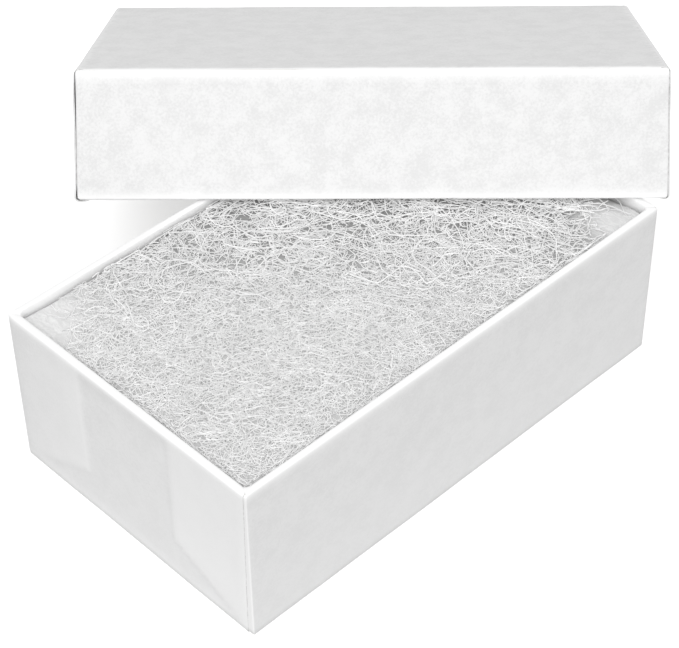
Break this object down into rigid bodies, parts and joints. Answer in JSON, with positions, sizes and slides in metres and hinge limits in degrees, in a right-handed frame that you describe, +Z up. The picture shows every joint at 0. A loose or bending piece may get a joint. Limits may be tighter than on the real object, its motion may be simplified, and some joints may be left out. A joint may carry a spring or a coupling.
{
  "type": "jewelry gift box",
  "caption": "Two-piece rectangular set-up box with its lid off: a wrapped lid leans across a wrapped tray that holds a pad of curled fibre.",
  "frame": {"origin": "centre of the tray's underside", "axes": "+Z up, +X along the tray's long side towards the end that the lid leans over, +Y along the tray's short side, towards the lid"},
  "size_m": [0.0953, 0.0779, 0.0356],
  "materials": {
    "chipboard": "matte",
    "stay_tape": "matte",
    "wrap_paper": "matte",
    "fibre_fill": "matte"
  },
  "bodies": {
    "tray": {"tray_board": "chipboard", "tray_stay_front_left": "stay_tape", "tray_stay_front_right": "stay_tape", "tray_stay_back_right": "stay_tape", "tray_stay_back_left": "stay_tape", "tray_wrap": "wrap_paper"},
    "fill": {"fill_pad": "fibre_fill"},
    "lid": {"lid_board": "chipboard", "lid_stay_front_left": "stay_tape", "lid_stay_front_right": "stay_tape", "lid_stay_back_right": "stay_tape", "lid_stay_back_left": "stay_tape", "lid_wrap": "wrap_paper"}
  },
  "joints": [
    {"name": "lid_lift", "type": "slide", "parent": "tray", "child": "lid", "axis": [0, 0, 1], "range_m": [0, 0.08]},
    {"name": "pad_lift", "type": "slide", "parent": "tray", "child": "fill", "axis": [0, 0, 1], "range_m": [0, 0.024]}
  ],
  "couplings": [
    {"joint": "pad_lift", "follows": "lid_lift", "ratio": 0.3}
  ]
}
